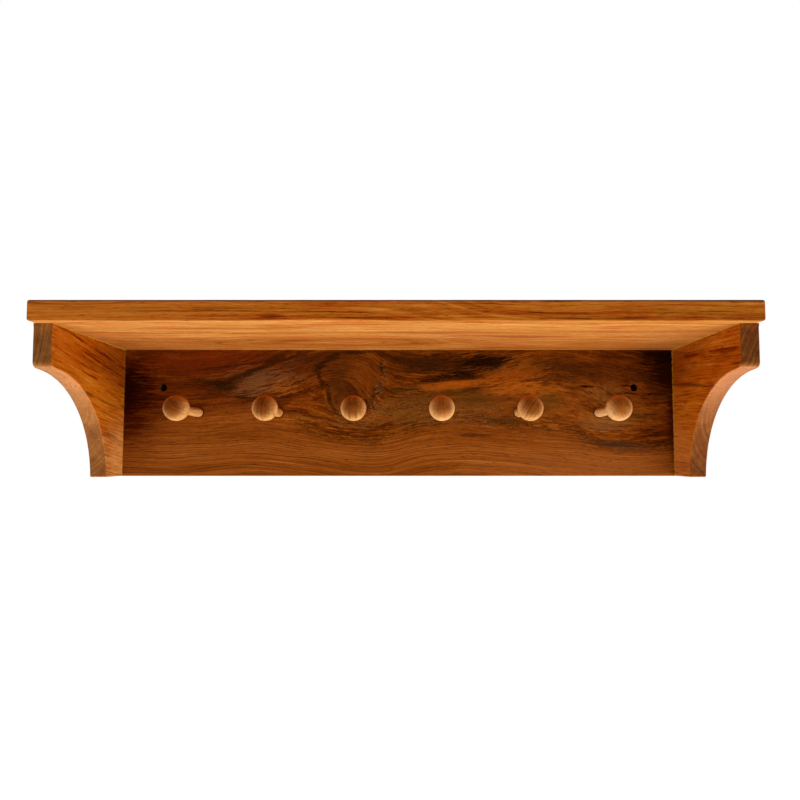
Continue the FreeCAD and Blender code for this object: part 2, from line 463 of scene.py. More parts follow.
ball_centre = peg_reach - knob_radius
cove_height = neck_radius + cove_radius
cove_reach = ball_centre - math.sqrt((knob_radius + cove_radius)**2 - cove_height**2)
touch_angle = math.degrees(math.atan2(cove_height, cove_reach - ball_centre))
tip_angle = 2.0
foot_drop = stem_radius - tenon_radius
foot_radius = (foot_length**2 + foot_drop**2) / (2 * foot_drop)
foot_turn = math.degrees(math.asin(foot_length / foot_radius))
cove_gap = 0.5
rail_gap = 0.3
profile = [
    arc((ball_centre, 0), knob_radius, tip_angle, touch_angle - 1, 48),
    arc((cove_reach, cove_height), cove_radius, touch_angle - 180, -90, 8, hollow=True),
    straight((cove_reach - cove_gap, neck_radius), (foot_length, stem_radius), 12),
    arc((foot_length, stem_radius - foot_radius), foot_radius, 91, 90 + foot_turn, 5),
    straight((-rail_gap, tenon_radius), (tenon_chamfer - tenon_length, tenon_radius), 4),
    straight((-tenon_length, tenon_radius - tenon_chamfer), (-tenon_length, 0.5), 2),
]
print("profile points:", sum(len(points) for points, _ in profile))

# %% Turn the six pegs
round_steps = 72


def turned_peg(name, axis_x, axis_z, node):
    """The profile's reach runs forwards from the rail, and its radius goes round the peg's axis."""
    drawn = np.concatenate([part[0] for part in profile])
    facing = np.concatenate([part[1] for part in profile])
    angle = np.linspace(0, math.tau, round_steps, endpoint=False)
    ones = np.ones_like(angle)
    reach, radius = drawn[:, :1], drawn[:, 1:]
    points = np.stack([axis_x + radius * np.cos(angle), rail_face - reach * ones,
                       axis_z + radius * np.sin(angle)], -1)
    normals = np.stack([facing[:, 1:] * np.cos(angle), -facing[:, :1] * ones,
                        facing[:, 1:] * np.sin(angle)], -1)
    rows, columns = points.shape[:2]
    tip, tail = rows * columns, rows * columns + 1
    ends = [(axis_x, rail_face - peg_reach, axis_z), (axis_x, rail_face + tenon_length, axis_z)]
    points = np.concatenate([points.reshape(-1, 3), ends])
    normals = np.concatenate([normals.reshape(-1, 3), [(0, -1, 0), (0, 1, 0)]])
    faces = grid_faces(rows, columns)[:, ::-1].tolist()
    ring = np.arange(columns)
    beside = (ring + 1) % columns
    last_row = (rows - 1) * columns
    faces += np.stack([ring, beside, np.full(columns, tip)], -1).tolist()
    faces += np.stack([beside + last_row, ring + last_row, np.full(columns, tail)], -1).tolist()
    return make_piece(name, points, normals, faces, node)


pegs = []
for number in range(1, 7):
    low, high = node_box(f"peg_{number}")
    middle = (low + high) / 2
    pegs.append(turned_peg(f"turned_peg_{number}", middle[0], middle[2], f"peg_{number}"))

# %% [markdown]
# ## Oiled hardwood
# The boards are a tropical hardwood, sawn, sanded and rubbed with oil. Oil fills the open grain, deepens
# the colour and leaves a satin sheen, so the eye sees the grain clearly and only soft highlights. Wood is
# solid, so its pattern is solid too: it is worked out in space, from the Object coordinates, and a board
# shows whatever its faces cut through, with lines on the long faces and rings on the sawn ends.
#
# The pattern is built from what a tree is. Rings are thin walls round the pith, and noise in one dimension
# over the distance from the pith gives bands of uneven width. Fibres and pores are noise that is stretched
# along the grain. Stains, knots and burnt-looking streaks are soft ellipses, frayed along the grain. Real
# pores are about 0.3 mm wide, which is less than a pixel here, so they are drawn more than twice as wide.

# %% Follow the grain

def grain_place(tree, order):
    """The surface's place in millimetres: along the grain, across the board's face, and through it."""
    place = add(tree, "TexCoord").outputs["Object"]
    place = add(tree, "VectorMath", {0: place, 1: (1 / mm,) * 3}, operation="MULTIPLY")
    parts = add(tree, "SeparateXYZ", {0: place})
    return add(tree, "CombineXYZ", {i: parts.outputs[axis] for i, axis in enumerate(order)})


def streaks(tree, place, length, width, seed=0.0, detail=3.0, roughness=0.6):
    """Soft noise whose grains are so many millimetres long, along the grain, and so many wide."""
    stretched = add(tree, "Mapping", {
        "Vector": place, "Location": (seed, seed * 1.7, seed * 2.3),
        "Scale": (1 / length, 1 / width, 1 / width),
    })
    return add(tree, "TexNoise", {
        "Vector": stretched, "Scale": 1.0, "Detail": detail, "Roughness": roughness,
    })


def pushed(tree, place, noise, reach):
    """The place, pushed along each axis by up to half the reach either way, as the noise says."""
    start = add(tree, "VectorMath", {0: place, 1: [-r / 2 for r in reach]}, operation="ADD")
    return add(tree, "VectorMath", {0: noise.outputs["Color"], 1: reach, 2: start},
               operation="MULTIPLY_ADD")


def summed(tree, middle, layers):
    """The middle value plus, for each layer, its weight times the pattern less a half."""
    total = middle - sum(weight for _, weight in layers) / 2
    for pattern, weight in layers:
        total = add(tree, "Math", {0: pattern, 1: weight, 2: total}, operation="MULTIPLY_ADD")
    return total


def smooth(tree, value, low, high, start=0.0, end=1.0):
    """Goes smoothly from start to end while the value goes from low to high."""
    return add(tree, "MapRange", {
        "Value": value, "From Min": low, "From Max": high, "To Min": start, "To Max": end,
    }, interpolation_type="SMOOTHSTEP")


def product(tree, *values):
    """The values multiplied with each other."""
    total = values[0]
    for value in values[1:]:
        total = add(tree, "Math", {0: total, 1: value}, operation="MULTIPLY")
    return total


def away_from(tree, value, target=0.0):
    """How far the value is from the target, either way."""
    away = add(tree, "Math", {0: value, 1: -target}, operation="ADD")
    return add(tree, "Math", {0: away}, operation="ABSOLUTE")


# %% [markdown]
# ### Rings
# A board cut beside the pith shows the rings as long arches, because the tree leans or tapers against the
# saw's cut. So the distance is measured from a pith line that leans a little against the board, and slow
# noise lets the rings wander. Soft bands give a ring its lighter and darker side. The thin dark line at a
# ring's end, its dense late wood, is drawn where the noise passes its middle value.

# %% Draw the rings
Pith = namedtuple("Pith", "across through lean_across lean_through")
late_wood_half = 0.06


def distance_from_pith(tree, place, pith):
    """The distance to a straight line that passes the board's middle and leans against the grain."""
    seen = add(tree, "Mapping", {
        "Vector": place, "Location": (0, -pith.across, -pith.through),
        "Rotation": (0, math.radians(pith.lean_through), -math.radians(pith.lean_across)),
    })
    flat = add(tree, "VectorMath", {0: seen, 1: (0, 1, 1)}, operation="MULTIPLY")
    return add(tree, "VectorMath", {0: flat}, operation="LENGTH")


def rings(tree, field, width, seed=0.0, detail=2.0):
    """Bands along the field, each about so many millimetres wide, and none quite like the next."""
    step = add(tree, "Math", {0: field, 1: 1 / width, 2: seed}, operation="MULTIPLY_ADD")
    return add(tree, "TexNoise", {"W": step, "Scale": 1.0, "Detail": detail, "Roughness": 0.55},
               noise_dimensions="1D")


def late_wood(tree, field, width, seed=0.0):
    """Thin lines, 1 in their middle, where the bands' noise passes its middle value."""
    away = away_from(tree, rings(tree, field, width, seed, 1.0), 0.5)
    return smooth(tree, away, 0.0, late_wood_half, 1.0, 0.0)


# %% [markdown]
# ### Stains and figure
# Each mark is an ellipse on the board's face: where it is, how long and how high, its tilt against the
# grain, its colour and its strength. Its distance is lowered and raised by the board's own streaks, so its
# edge frays into tongues that run with the grain, as mineral stain and burnt sap do.

# %% Draw the marks
Mark = namedtuple("Mark", "along across length height tilt colour strength soft fray through depth",
                  defaults=(0.4, 1.0, 0.0, 400.0))


def from_mark(tree, place, mark):
    """The distance from a mark's middle, which is 1 all along its ellipse."""
    centred = add(tree, "Mapping", {
        "Vector": place, "Location": (mark.along, mark.across, mark.through),
        "Rotation": (0, 0, math.radians(mark.tilt)), "Scale": (mark.length, mark.height, mark.depth),
    }, vector_type="TEXTURE")
    return add(tree, "VectorMath", {0: centred}, operation="LENGTH")


def marked(tree, colour, place, tongues, marks):
    """The colour with the marks laid over it, one after the other.

    The tongues change the distance from a mark by up to the fray either way, and the cover fades
    smoothly from the strength to nothing across the soft part of the edge.
    """
    for mark in marks:
        away = add(tree, "Math", {0: tongues, 1: -2 * mark.fray, 2: from_mark(tree, place, mark)},
                   operation="MULTIPLY_ADD")
        cover = smooth(tree, away, 1 - mark.soft - mark.fray, 1 + mark.soft - mark.fray, mark.strength, 0.0)
        colour = add(tree, "Mix", {0: cover, 1: colour, 2: linear(mark.colour)}, data_type="RGBA")
    return colour


# %% [markdown]
# ### Glue lines
# The pieces are glued, and a thin bead of dried glue shows along the inner joints: golden, and speckled,
# because it was wiped with a rag while wet. It is thinner than a millimetre, so it is drawn on the wood,
# where the surface comes within that of the joint.

# %% Draw the glue
glue_colour = "cc9430"
glue_width = 0.75
speck_figure = (2.6, 1.6, 61.0, 2.0)


def glued(tree, colour, coordinate, joint, speckle, strength=0.6):
    """The colour with dried glue wherever the coordinate comes near the joint's. Speckle frays its edge."""
    away = away_from(tree, coordinate, joint)
    away = add(tree, "Math", {0: speckle, 1: -4 * glue_width, 2: away}, operation="MULTIPLY_ADD")
    cover = smooth(tree, away, -1.4 * glue_width, -0.8 * glue_width, strength, 0.0)
    return add(tree, "Mix", {0: cover, 1: colour, 2: linear(glue_colour)}, data_type="RGBA")


# %% [markdown]
# ### From figure to finish
# The tone of the wood runs through a ramp of its colours, dark to light. The marks come next, then the
# fibres and pores darken or lighten what is there. Sawn ends soak up more oil, so they turn darker and
# greyer: the more a face looks along the grain, the more it takes of the end's own colours. Eased edges
# are rubbed a little lighter, which the `eased` attribute of the new boards tells the material. The
# Principled BSDF gets a satin roughness that is higher in the pores, and a low, warm specular level,
# because oil that has soaked in reflects less than a varnish film and is itself amber.

# %% Colour by tone and place
curve_reach = 200.0
tone_places = (0.05, 0.30, 0.50, 0.72, 0.95)


def five_tones(colours):
    """A ramp's stops for five hex colours, from the darkest tone to the palest."""
    return tuple(zip(tone_places, colours.split()))


def ramp_colour(tree, tone, tones):
    """The colour of a tone, with the ramp's stops as (tone, hex colour) pairs."""
    ramp = add(tree, "ValToRGB", {0: tone})
    while len(ramp.color_ramp.elements) < len(tones):
        ramp.color_ramp.elements.new(0.5)
    for element, (position, colour) in zip(ramp.color_ramp.elements, tones):
        element.position = position
        element.color = linear(colour)
    return ramp


def tinted(tree, colour, amount, tint):
    """The colour multiplied by a tint, as much as the amount says."""
    return add(tree, "Mix", {0: amount, 1: colour, 2: linear(tint)}, data_type="RGBA",
               blend_type="MULTIPLY")


def faces_along(tree, axis):
    """1 where the surface faces along the axis, either way, and 0 where it faces across it."""
    normal = add(tree, "TexCoord").outputs["Normal"]
    return away_from(tree, add(tree, "SeparateXYZ", {0: normal}).outputs[axis])


def curve_along(tree, along, half, points):
    """A smooth curve over a board's length, from -half to half, through points given in millimetres."""
    share = add(tree, "MapRange", {"Value": along, "From Min": -half, "From Max": half})
    drawn = add(tree, "FloatCurve", {"Value": share})
    curve = drawn.mapping.curves[0]
    while len(curve.points) < len(points):
        curve.points.new(0.5, 0.5)
    for point, (x, height) in zip(curve.points, points):
        point.location = (0.5 + x / half / 2, 0.5 + height / curve_reach)
    drawn.mapping.update()
    return add(tree, "Math", {0: drawn, 1: curve_reach, 2: -curve_reach / 2},
               operation="MULTIPLY_ADD")


print("the tones of a wood lie at", tone_places)

# %% Oil the wood
Wood = namedtuple("Wood", "order tones end_tones fibre pores gloss seed", defaults=(0.0,))
rubbed_share = 0.04
oil_shine = 0.08


def oiled(finish, place, colour, end_tone, wood, shine=oil_shine):
    """Fibres, pores, sawn ends, rubbed edges, gloss and a fine relief over the figure's colour."""
    tree = finish.node_tree
    sawn = smooth(tree, faces_along(tree, wood.order[0]), 0.3, 1.0)
    end_colour = ramp_colour(tree, end_tone, wood.end_tones)
    colour = add(tree, "Mix", {0: sawn, 1: colour, 2: end_colour}, data_type="RGBA")

    fibre = streaks(tree, place, 26.0, 1.3, wood.seed + 3.1, 4.0, 0.65)
    hair = streaks(tree, place, 9.0, 0.8, wood.seed + 8.7, 2.0, 0.7)
    pore = streaks(tree, place, 11.0, 0.7, wood.seed + 5.3, 1.0, 0.5)
    pore = smooth(tree, pore, 0.60, 0.76)
    light = summed(tree, 1.0, ((fibre, wood.fibre), (hair, wood.fibre * 0.7)))
    rubbed = add(tree, "Attribute", attribute_name="eased").outputs["Fac"]
    light = add(tree, "Math", {0: rubbed, 1: rubbed_share, 2: light}, operation="MULTIPLY_ADD")
    colour = add(tree, "VectorMath", {0: colour, "Scale": light}, operation="SCALE")
    colour = tinted(tree, colour, product(tree, pore, wood.pores), "8c5634")

    height = summed(tree, 0.5, ((fibre, 0.5), (hair, 0.3)))
    height = add(tree, "Math", {0: pore, 1: -0.8, 2: height}, operation="MULTIPLY_ADD")
    relief = add(tree, "Bump", {"Strength": 0.35, "Distance": 0.15 * mm, "Height": height})
    rough = add(tree, "MapRange", {"Value": pore, "To Min": wood.gloss, "To Max": 0.75})
    surface = add(tree, "BsdfPrincipled", {
        "Base Color": colour, "Roughness": rough, "IOR": 1.5, "Specular IOR Level": shine,
        "Specular Tint": linear("ffb070"), "Normal": relief,
    })
    add(tree, "OutputMaterial", {"Surface": surface})
    print(f"{finish.name}: {len(tree.nodes)} nodes")


# %% [markdown]
# ### The shelf board's wood
# The top board is the straightest of the boards: straight lines on its front edge and long arches on its
# faces, orange-tan with pinkish streaks. Its front edge is a deeper brown, most of all at the right end, its
# eased front arrises darker and greyer, and painted shade darkens the board towards the wall.

# %% Choose the shelf board's colours and marks
shelf_wood = Wood("XYZ", five_tones("6e380a a25e1a bd782e cf8b43 e2a866"),
                  five_tones("4a250c 6c3d18 8a5426 a06a38 b88552"), 0.35, 0.8, 0.42)
shelf_marks = (
    Mark(-150, -150, 70, 4.0, 0.6, "9a5a2c", 0.6, 0.5, 2.5),
    Mark(70, -128, 80, 5.0, 1.5, "a05a30", 0.7, 0.5, 2.5),
    Mark(110, -108, 60, 5.0, 1.2, "985230", 0.7, 0.5, 3.0),
    Mark(250, -135, 70, 6.0, -1.0, "a45e34", 0.6, 0.5, 2.5),
    Mark(-60, -90, 120, 8.0, 0.8, "a45c20", 0.5, 0.5, 2.5),
    Mark(-118, -191, 12, 4.0, 0, "4a2408", 0.65, 0.4, 1.0, 49.0, 2.2),
    Mark(-280, -191, 110, 3.0, 0, "d2914a", 0.5, 0.6, 1.5),
)
shelf_half = shelf_high[0]
shelf_flow = ((-350, 0), (-180, 3), (-60, 0), (0, 2), (30, 5), (70, 10), (130, 14), (220, 14), (350, 17))
print("marks on the shelf board:", len(shelf_marks))

# %% Lay out the shelf board's grain
oiled_shelf, tree = new_material("oiled_hardwood_shelf_board")
place = grain_place(tree, shelf_wood.order)
drift = streaks(tree, place, 220.0, 40.0, 11.0, 1.0)
place = pushed(tree, place, drift, (0.0, 12.0, 12.0))
along = add(tree, "SeparateXYZ", {0: place}).outputs["X"]
away = distance_from_pith(tree, place, Pith(-70.0, -25.0, 0.6, 0.8))
flow = curve_along(tree, along, shelf_half, shelf_flow)
field = add(tree, "Math", {0: away, 1: flow}, operation="ADD")
tongues = streaks(tree, place, 46.0, 2.0, 21.0, 4.0)
mottle = streaks(tree, place, 8.0, 1.3, 27.0, 3.0, 0.7)
tone = summed(tree, 0.55, ((rings(tree, field, 2.6), 0.6), (rings(tree, field, 9.0, 4.0), 0.4),
                           (late_wood(tree, field, 3.0, 7.0), -0.25), (tongues, 0.9), (mottle, 0.5),
                           (streaks(tree, place, 160.0, 22.0, 5.0), 0.5)))
print("nodes of the shelf board's figure:", len(tree.nodes))

# %% Colour and finish the shelf board
straight_place = grain_place(tree, shelf_wood.order)
straight_parts = add(tree, "SeparateXYZ", {0: straight_place})
depth = straight_parts.outputs["Y"]
on_front = smooth(tree, depth, front + 2.5, front + 1.3)
through = add(tree, "SeparateXYZ", {0: place}).outputs["Z"]
edge_lines = product(tree, late_wood(tree, through, 2.6, 3.0), on_front)
broken = smooth(tree, streaks(tree, place, 70.0, 4.0, 47.0), 0.42, 0.60, 0.0, -0.38)
tone = add(tree, "Math", {0: edge_lines, 1: broken, 2: tone}, operation="MULTIPLY_ADD")
colour = ramp_colour(tree, tone, shelf_wood.tones)
pink = smooth(tree, streaks(tree, place, 90.0, 6.0, 31.0), 0.48, 0.66, 0.0, 0.8)
colour = tinted(tree, colour, pink, "ecaca4")
colour = marked(tree, colour, place, tongues, shelf_marks)
colour = tinted(tree, colour, on_front, "f2cc8a")
colour = tinted(tree, colour, product(tree, smooth(tree, along, 0.0, shelf_half), on_front), "e8f0e6")
eased = add(tree, "Attribute", attribute_name="eased").outputs["Fac"]
colour = tinted(tree, colour, product(tree, eased, on_front), "c6bcaa")
# Painted shade: the board is tinted darker towards the wall, where less light reaches.
colour = tinted(tree, colour, smooth(tree, depth, -180.0, -40.0), "decab2")
speck = streaks(tree, straight_place, *speck_figure)
below = smooth(tree, straight_parts.outputs["Z"], shelf_low[2] + 1, shelf_low[2] + 2, 0.8, 0.0)
below = product(tree, below, smooth(tree, depth, nose, nose + 1))
for axis, joint in (("X", rail_low[0]), ("X", rail_high[0]), ("Y", rail_face)):
    colour = glued(tree, colour, straight_parts.outputs[axis], joint, speck, below)
oiled(oiled_shelf, place, colour, tone, shelf_wood)
shelf_board.data.materials.append(oiled_shelf)

# %% [markdown]
# ### The back rail's wood
# The rail is a rustic board and the figure of the whole piece. Its lower third is plain sapwood with
# fine wavy lines. Above it lies dark, mottled heartwood: a knot left of the middle, black streaks that run
# out of it, a golden band to its right, and near-black ends, partly the wood's own colour and partly painted
# shade in the corners by the brackets. The grain flows round the knot, as water flows round a stone. So its
# lines are measured from two curves along the board, one that rises over the knot and one that dips under
# it, and each height takes its share of both. A third curve is the shore between sapwood and heartwood.

# %% Draw the rail's figure
rail_half = rail_high[0]
upper_flow = ((-331, 0), (-230, 0), (-195, 5), (-150, 18), (-112, 30), (-70, 37), (-42, 31), (-16, 14),
              (8, 7), (50, 5), (90, 9), (140, 19), (200, 25), (260, 17), (331, 8))
lower_flow = ((-331, 0), (-240, 2), (-165, 6), (-110, 0), (-60, -8), (-20, -9), (30, 2), (70, 5),
              (130, 2), (200, -5), (270, -12), (331, -10))
shore = ((-331, -66), (-285, -46), (-235, -30), (-190, -26), (-155, -30), (-128, -44), (-96, -58),
         (-62, -65), (-24, -67), (-4, -57), (30, -51), (65, -45), (120, -49), (200, -57), (246, -74),
         (281, -77), (331, -78))

rail_wood = Wood("XZY", ((0.05, "1a0600"), (0.28, "481e02"), (0.50, "733304"), (0.70, "8e480a"),
                         (0.95, "b87026")),
                 ((0.05, "2a1206"), (0.50, "5a3316"), (0.95, "80552c")), 0.55, 0.8, 0.45)
sapwood_tones = five_tones("441b04 663008 7e3f0c 92501b b07234")
rail_marks = (
    Mark(176, -16, 130, 34, 0, "8e4e16", 0.4, 0.7, 2.5),
    # The feathered arrow left of the knot, and the grey cloud inside it
    Mark(-200, 10, 80, 30, 0, "4a1804", 0.55, 0.6, 2.0),
    Mark(-235, 34, 90, 15, 2, "702806", 0.6, 0.5, 1.5),
    Mark(-205, 26, 40, 2.0, 7, "2e0e00", 0.75, 0.4, 1.5),
    Mark(-166, 8, 34, 15, 10, "7a5430", 0.55, 0.6, 4.0),
    Mark(-144, 0, 15, 6, 8, "a45a14", 0.6, 0.5, 4.0),
    Mark(-222, 6, 20, 3.5, 2, "241400", 0.85, 0.4, 2.5),
    Mark(-208, 2, 13, 7, 5, "241200", 0.85, 0.4, 2.5),
    Mark(-182, 18, 34, 3.5, 22, "201000", 0.85, 0.4, 2.5),
    Mark(-142, 35, 24, 5, 16, "2a1000", 0.8, 0.4, 3.0),
    Mark(-184, -12, 22, 1.6, -3, "241000", 0.8, 0.4, 2.0),
    Mark(-112, 34, 26, 12, 0, "42200a", 0.55, 0.5, 4.0),
    # The knot: dark arcs round a smooth brown middle, and a pale halo below it on the right
    Mark(-56, 12, 36, 34, 0, "5c300a", 0.4, 0.4, 1.5),
    Mark(-70, 12, 14, 28, 4, "482406", 0.6, 0.4, 2.0),
    Mark(-40, 15, 19, 19, 0, "783a0a", 0.6, 0.4, 2.0),
    Mark(-95, 26, 9, 3.5, 45, "1c0c00", 0.85, 0.4, 1.5),
    Mark(-82, 36, 13, 3.5, 22, "241002", 0.8, 0.4, 1.8),
    Mark(-50, 43, 18, 2.5, 4, "241200", 0.75, 0.4, 2.0),
    Mark(-95, 9, 2.6, 12, 14, "281404", 0.8, 0.4, 1.5),
    Mark(-82, -14, 2.6, 13, 18, "261602", 0.85, 0.4, 1.2),
    Mark(-73, -31, 2.2, 8, 36, "261602", 0.8, 0.4, 1.2),
    Mark(-20, 24, 2.6, 12, 6, "281402", 0.75, 0.4, 1.5),
    Mark(-28, -8, 4.0, 15, -34, "34200a", 0.75, 0.4, 1.5),
    Mark(-24, -28, 20, 5.0, 44, "84521f", 0.5, 0.5, 2.5),
    Mark(-52, -42, 30, 6.0, 0, "764616", 0.45, 0.5, 3.0),
    Mark(-118, -36, 16, 4.0, -10, "7e4a1a", 0.5, 0.5, 3.0),
    # Right of the knot: the dark band, the golden one under it, and the mottled stretch
    Mark(24, 28, 44, 16, -4, "2e1604", 0.75, 0.5, 3.5),
    Mark(140, 24, 66, 12, 0, "8a4c12", 0.55, 0.6, 2.0),
    Mark(72, 25, 42, 13, 0, "261002", 0.8, 0.5, 3.5),
    Mark(64, 3, 44, 6.0, 8, "b05a0e", 0.75, 0.5, 2.0),
    Mark(146, 16, 44, 9.0, 5, "94460a", 0.65, 0.5, 2.5),
    Mark(152, -1, 42, 7.0, 1, "ac5a10", 0.7, 0.5, 2.5),
    Mark(48, 11, 26, 3.5, 12, "1a0a00", 0.85, 0.4, 2.0),
    Mark(106, 31, 30, 9.0, 0, "0c0300", 0.95, 0.4, 2.2),
    Mark(80, 15, 22, 6.0, 3, "140600", 0.9, 0.4, 2.0),
    Mark(8, -2, 18, 2.4, 3, "2a1a04", 0.85, 0.4, 1.5),
    Mark(94, -14, 18, 9.0, -15, "4e320a", 0.5, 0.5, 4.0),
    Mark(46, -22, 76, 17, 0, "5c3812", 0.55, 0.6, 3.0),
    Mark(118, -40, 24, 5.0, 0, "36200a", 0.75, 0.5, 3.0),
    Mark(64, -42, 30, 5.0, 4, "7c4a20", 0.45, 0.5, 4.0),
    Mark(15, -30, 32, 20, 0, "623e12", 0.4, 0.6, 3.5),
    Mark(80, -9, 20, 8.0, -8, "4a3408", 0.5, 0.5, 3.0),
    Mark(180, -13, 16, 13, 0, "63420f", 0.4, 0.6, 3.0),
    Mark(262, -36, 34, 10, 0, "5e3c14", 0.4, 0.6, 3.0),
    Mark(200, 22, 30, 9.0, -6, "2a1204", 0.8, 0.5, 5.0),
    Mark(255, 20, 40, 12, 0, "4e2408", 0.55, 0.5, 4.0),
    Mark(226, 1.5, 11, 1.7, 0, "0c0300", 0.93, 0.4, 1.2),
    Mark(274, 2.0, 8, 1.2, 0, "140500", 0.9, 0.4, 1.2),
    Mark(247, -44, 24, 8.0, 0, "84562a", 0.45, 0.7, 1.5),
    Mark(246, -8, 16, 9.0, 0, "7c5626", 0.35, 0.7, 3.0),
    Mark(-262, -50, 40, 11, 0, "84521f", 0.45, 0.6, 2.0),
)
rail_last_marks_and_end_shade = (
    Mark(90, -57, 19, 2.2, -3, "38200a", 0.8, 0.4, 2.0),
    Mark(262, -69, 30, 5.0, -4, "3c2412", 0.7, 0.5, 4.0),
    Mark(210, -94, 100, 14, 0, "9e5a28", 0.3, 0.6, 1.0),
    # These five darken the rail's ends beside the brackets: partly the wood's own near-black, partly painted
    # shade in the corners.
    Mark(-338, -14, 46, 50, 0, "340602", 0.88, 0.6, 1.8),
    Mark(-332, 0, 26, 26, 0, "160201", 0.85, 0.5, 2.0),
    Mark(331, 24, 32, 32, 0, "120201", 0.93, 0.5, 1.6),
    Mark(318, 40, 34, 9.0, -8, "120300", 0.9, 0.5, 1.6),
    Mark(334, -36, 10, 50, 0, "2a0602", 0.88, 0.6, 1.6),
)
crumbly_places = (
    Mark(-21, 6, 6, 26, -12, "9a6c3c", 0.5),
    Mark(-30, -30, 64, 16, 3, "906434", 0.4),
    Mark(76, -30, 66, 13, -3, "8c6434", 0.3),
    Mark(20, -8, 310, 40, 0, "8a5224", 0.12),
)
print("marks on the rail:", len(rail_marks), "and at its ends:", len(rail_last_marks_and_end_shade))

# %% Lay out the rail's grain
oiled_rail, tree = new_material("oiled_rustic_hardwood_back_rail")
straight_place = grain_place(tree, rail_wood.order)
drift = streaks(tree, straight_place, 120.0, 30.0, 2.0, 2.0)
place = pushed(tree, straight_place, drift, (0.0, 8.0, 8.0))
straight_parts = add(tree, "SeparateXYZ", {0: straight_place})
parts = add(tree, "SeparateXYZ", {0: place})
along, height, through = (parts.outputs[axis] for axis in "XYZ")
upper_share = smooth(tree, height, -46.0, 26.0)
upper_line, lower_line, shore_line = (curve_along(tree, along, rail_half, drawn)
                                      for drawn in (upper_flow, lower_flow, shore))
flow = add(tree, "Mix", {0: upper_share, 1: lower_line, 2: upper_line})
field = add(tree, "Math", {0: height, 1: flow}, operation="SUBTRACT")
field = add(tree, "Math", {0: through, 1: 0.5, 2: field}, operation="MULTIPLY_ADD")
flowing = add(tree, "CombineXYZ", {0: along, 1: field, 2: through})
feather = streaks(tree, flowing, 30.0, 3.0, 14.0, 3.0)
feathered = pushed(tree, flowing, feather, (30.0, 4.0, 0.0))
tongues = streaks(tree, feathered, 18.0, 1.5, 17.0, 4.0, 0.7)
mottle = streaks(tree, feathered, 4.0, 1.1, 19.0, 3.0, 0.75)
print("nodes of the rail's figure:", len(tree.nodes))

# %% [markdown]
# The heartwood's tone comes from narrow and wide rings, frayed tongues and short dashes. Patches of it
# are olive. Pale crumbs sit in its open grain, most of all round the knot, as sparse little dashes.

# %% Colour the heartwood
tone = summed(tree, 0.50, ((rings(tree, field, 2.8), 0.22), (rings(tree, field, 11.0, 4.0), 0.25),
                           (late_wood(tree, field, 3.0, 5.0), -0.16), (tongues, 0.7), (mottle, 0.6),
                           (streaks(tree, flowing, 110.0, 14.0, 23.0), 0.7)))
heartwood = ramp_colour(tree, tone, rail_wood.tones)
olive = smooth(tree, streaks(tree, feathered, 40.0, 6.0, 37.0), 0.42, 0.56, 0.0, 0.9)
heartwood = tinted(tree, heartwood, olive, "bcb070")
marked_place = pushed(tree, straight_place, feather, (16.0, 6.0, 0.0))
heartwood = marked(tree, heartwood, marked_place, tongues, rail_marks)
speck = streaks(tree, marked_place, *speck_figure)
crumb = smooth(tree, streaks(tree, marked_place, 2.8, 1.1, 67.0, 1.0), 0.57, 0.63)
for spot in crumbly_places:
    near = smooth(tree, from_mark(tree, marked_place, spot), 0.6, 1.4, spot.strength, 0.0)
    crumbs = product(tree, near, crumb)
    heartwood = add(tree, "Mix", {0: crumbs, 1: heartwood, 2: linear(spot.colour)}, data_type="RGBA")
grain_light = summed(tree, 1.0, ((mottle, 0.8), (tongues, 0.4), (speck, 0.5)))
heartwood = add(tree, "VectorMath", {0: heartwood, "Scale": grain_light}, operation="SCALE")
print("nodes with the heartwood:", len(tree.nodes))

# %% [markdown]
# The sapwood's fine wavy lines are strongest in the middle of its band. They grow faint at the rail's
# lower edge and turn to blotches near the heartwood. The shore between the two woods frays along the
# grain, and right of the arrow dark flecks lie along it.

# %% Colour the sapwood and its shore
lines = summed(tree, 0.0, ((rings(tree, field, 2.2, 9.0), 0.34), (late_wood(tree, field, 2.6, 12.0), -0.38)))
lines = product(tree, lines, smooth(tree, height, -72.0, -56.0, 0.9, 0.2),
                smooth(tree, height, -94.0, -82.0, 0.5, 1.0))
blotches = summed(tree, 0.0, ((tongues, 0.6), (mottle, 0.5)))
blotchy = smooth(tree, height, -76.0, -56.0)
line_tone = summed(tree, 0.44, ((rings(tree, field, 9.0, 2.0), 0.3),
                                (streaks(tree, flowing, 80.0, 2.0, 41.0), 0.65),
                                (streaks(tree, flowing, 150.0, 20.0, 43.0), 0.35)))
line_tone = add(tree, "Math", {0: line_tone, 1: lines}, operation="ADD")
line_tone = add(tree, "Math", {0: blotches, 1: blotchy, 2: line_tone}, operation="MULTIPLY_ADD")
sapwood = ramp_colour(tree, line_tone, sapwood_tones)
over_shore = add(tree, "Math", {0: height, 1: shore_line}, operation="SUBTRACT")
over_shore = add(tree, "Math", {0: tongues, 1: 16.0, 2: over_shore}, operation="MULTIPLY_ADD")
border = smooth(tree, over_shore, 5.0, 20.0)
colour = add(tree, "Mix", {0: border, 1: sapwood, 2: heartwood}, data_type="RGBA")
flecks = summed(tree, 0.5, ((tongues, 1.0), (mottle, 1.0)))
flecked = product(tree, smooth(tree, over_shore, 2.0, 12.0), smooth(tree, over_shore, 14.0, 26.0, 1.0, 0.0),
                  smooth(tree, flecks, 0.42, 0.56, 1.0, 0.0), smooth(tree, along, -140.0, -110.0, 0.0, 0.65))
colour = add(tree, "Mix", {0: flecked, 1: colour, 2: linear("261604")}, data_type="RGBA")
# Laid last: marks along the shore and the dark ends, which are partly painted shade by the brackets.
colour = marked(tree, colour, marked_place, tongues, rail_last_marks_and_end_shade)
for joint, amount in ((-rail_half, 0.15), (rail_half, 0.5)):
    colour = glued(tree, colour, straight_parts.outputs["X"], joint, speck, amount)
print("nodes with the sapwood:", len(tree.nodes))
